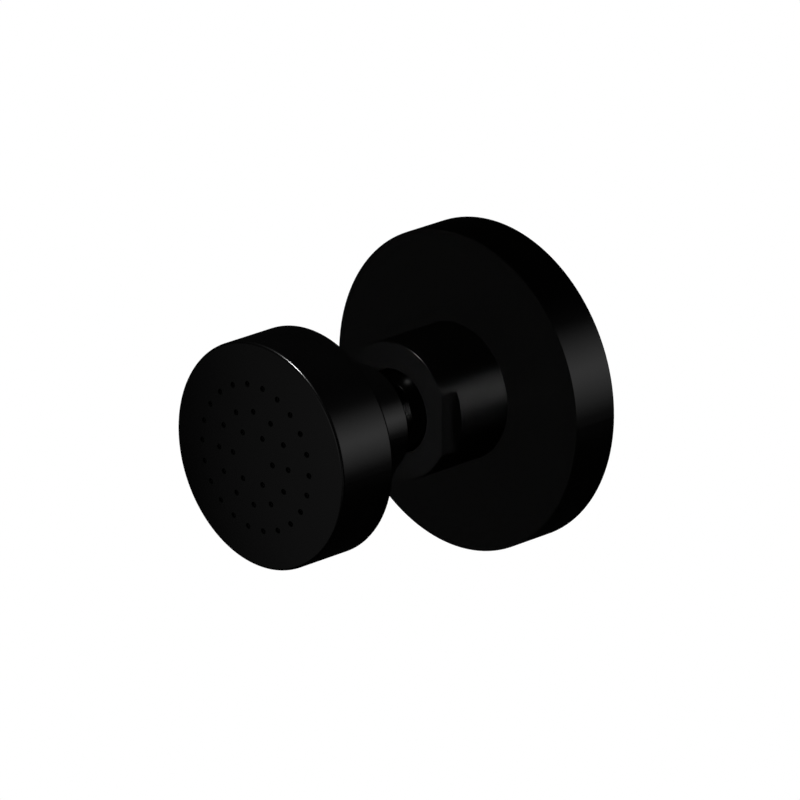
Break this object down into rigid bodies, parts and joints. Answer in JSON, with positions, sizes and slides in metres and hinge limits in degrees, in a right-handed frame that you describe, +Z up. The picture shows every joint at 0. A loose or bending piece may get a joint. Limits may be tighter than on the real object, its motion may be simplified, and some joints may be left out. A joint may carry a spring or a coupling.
{
  "type": "shower body jet",
  "caption": "Matte black round body jet: domed spray head on a ball joint in a flatted socket nut, with a round wall cover plate and a threaded inlet behind it.",
  "frame": {"origin": "on the axis of the jet and its inlet thread, in the wall plane where the cover plate's rim lies", "axes": "+Y into the wall along the inlet thread, -Y out of the wall the way the jet points, +Z up"},
  "size_m": [0.07, 0.0865, 0.07],
  "materials": {
    "black_coat": "satin",
    "brass": "satin",
    "acetal": "satin",
    "rubber": "matte",
    "silicone": "satin",
    "steel": "satin"
  },
  "bodies": {
    "wall_fitting": {"wall_plate": "black_coat", "plate_gasket": "rubber", "plate_seal": "rubber", "socket_nut": "black_coat", "inlet_body": "brass", "inlet_seal": "rubber", "nut_seal": "rubber", "preload_ring": "rubber", "rear_seat": "acetal", "flow_regulator": "acetal", "regulator_seal": "rubber", "filter_screen": "steel", "filter_washer": "rubber"},
    "swivel_ring": {"slip_ring": "acetal"},
    "tilt_ring": {"neck_seal": "rubber"},
    "spray_head": {"ball_stem": "black_coat", "head_back": "black_coat", "head_seal": "rubber", "head_shell": "black_coat", "nozzle_mat": "silicone", "diffuser_plate": "acetal"}
  },
  "joints": [
    {"name": "ball_swivel", "type": "hinge", "parent": "wall_fitting", "child": "swivel_ring", "pos_m": [0, -0.02346, 0], "axis": [0, -1, 0], "continuous": true},
    {"name": "ball_tilt", "type": "hinge", "parent": "swivel_ring", "child": "tilt_ring", "pos_m": [0, -0.02346, 0], "axis": [1, 0, 0], "range_deg": [-18, 18]},
    {"name": "ball_spin", "type": "hinge", "parent": "tilt_ring", "child": "spray_head", "pos_m": [0, -0.02346, 0], "axis": [0, -1, 0], "continuous": true}
  ]
}
